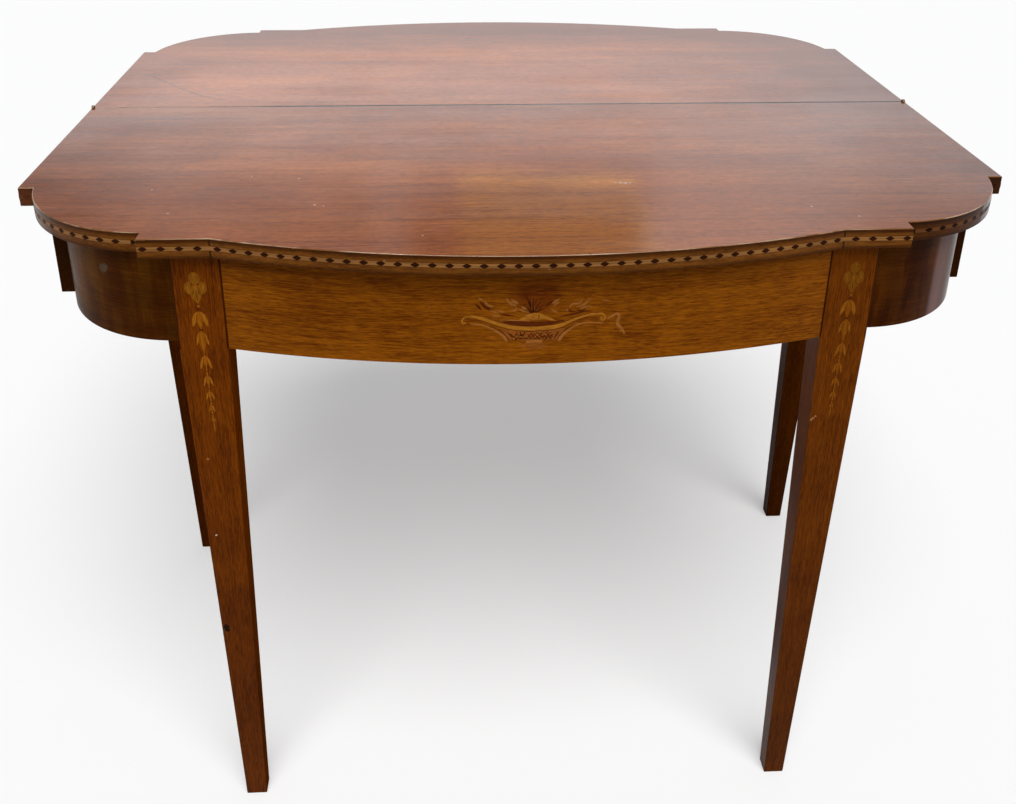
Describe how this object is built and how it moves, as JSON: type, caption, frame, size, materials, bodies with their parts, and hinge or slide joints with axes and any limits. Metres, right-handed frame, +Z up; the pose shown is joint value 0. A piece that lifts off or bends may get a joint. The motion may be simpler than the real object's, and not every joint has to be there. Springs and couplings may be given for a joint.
{
  "type": "folding top table",
  "caption": "Fold-over card table with bowed front, quarter-round corners, square tapered inlaid legs, side-mounted leaf hinges and back legs that draw out.",
  "frame": {"origin": "on the floor under the middle of the joint line between the two leaves, the middle of the open top", "axes": "+X to the right of someone facing the bow apron, along the joint line; +Y to the back, away from that person; +Z up"},
  "size_m": [1.05, 0.916, 0.7539],
  "materials": {
    "top_mahogany": "high gloss polish, red-brown, grain along the width",
    "apron_mahogany": "satin polish, golden brown, grain along the apron",
    "leg_mahogany": "satin polish, dark red-brown, grain along the leg",
    "corner_mahogany": "glossy dark brown veneer",
    "boxwood": "pale inlay with dark details, polished flush",
    "inside_wood": "unfinished plain timber",
    "brass": "aged, lightly worn",
    "steel": "dull, old screws"
  },
  "bodies": {
    "frame": {"back_rail": "inside_wood", "basket_inlay": "boxwood", "cross_rail": "inside_wood", "fixed_leaf": "top_mahogany", "fixed_leaf_banding": "boxwood", "front_apron": "apron_mahogany", "left_corner_apron": "corner_mahogany", "left_corner_block": "inside_wood", "left_fixed_hinge_plate": "brass", "left_fixed_hinge_screw_1": "brass", "left_fixed_hinge_screw_2": "brass", "left_front_leg": "leg_mahogany", "left_hinge_pin": "brass", "left_leg_block": "inside_wood", "left_leg_inlay": "boxwood", "left_side_rail": "leg_mahogany", "right_corner_apron": "corner_mahogany", "right_corner_block": "inside_wood", "right_fixed_hinge_plate": "brass", "right_fixed_hinge_screw_1": "brass", "right_fixed_hinge_screw_2": "brass", "right_front_leg": "leg_mahogany", "right_hinge_pin": "brass", "right_leg_block": "inside_wood", "right_leg_inlay": "boxwood", "right_side_rail": "leg_mahogany", "rim_inlay": "boxwood", "spray_inlay": "boxwood", "top_screw_back_left": "steel", "top_screw_back_right": "steel", "top_screw_front_left": "steel", "top_screw_front_right": "steel", "top_screw_middle_left": "steel", "top_screw_middle_right": "steel"},
    "folding leaf": {"centre_tongue": "inside_wood", "folding_leaf": "top_mahogany", "folding_leaf_banding": "boxwood", "left_folding_hinge_plate": "brass", "left_folding_hinge_screw_1": "brass", "left_folding_hinge_screw_2": "brass", "left_tongue": "inside_wood", "right_folding_hinge_plate": "brass", "right_folding_hinge_screw_1": "brass", "right_folding_hinge_screw_2": "brass", "right_tongue": "inside_wood"},
    "left rear leg": {"left_rear_leg": "leg_mahogany", "left_runner": "inside_wood", "left_stop_peg": "inside_wood"},
    "right rear leg": {"right_rear_leg": "leg_mahogany", "right_runner": "inside_wood", "right_stop_peg": "inside_wood"}
  },
  "joints": [
    {"name": "leaf_fold", "type": "hinge", "parent": "frame", "child": "folding leaf", "pos_m": [0, 0, 0.75115], "axis": [1, 0, 0], "range_deg": [0, 180]},
    {"name": "left_leg_slide", "type": "slide", "parent": "frame", "child": "left rear leg", "axis": [0, 1, 0], "range_m": [-0.082, 0.048]},
    {"name": "right_leg_slide", "type": "slide", "parent": "frame", "child": "right rear leg", "axis": [0, 1, 0], "range_m": [-0.118, 0.012]}
  ]
}
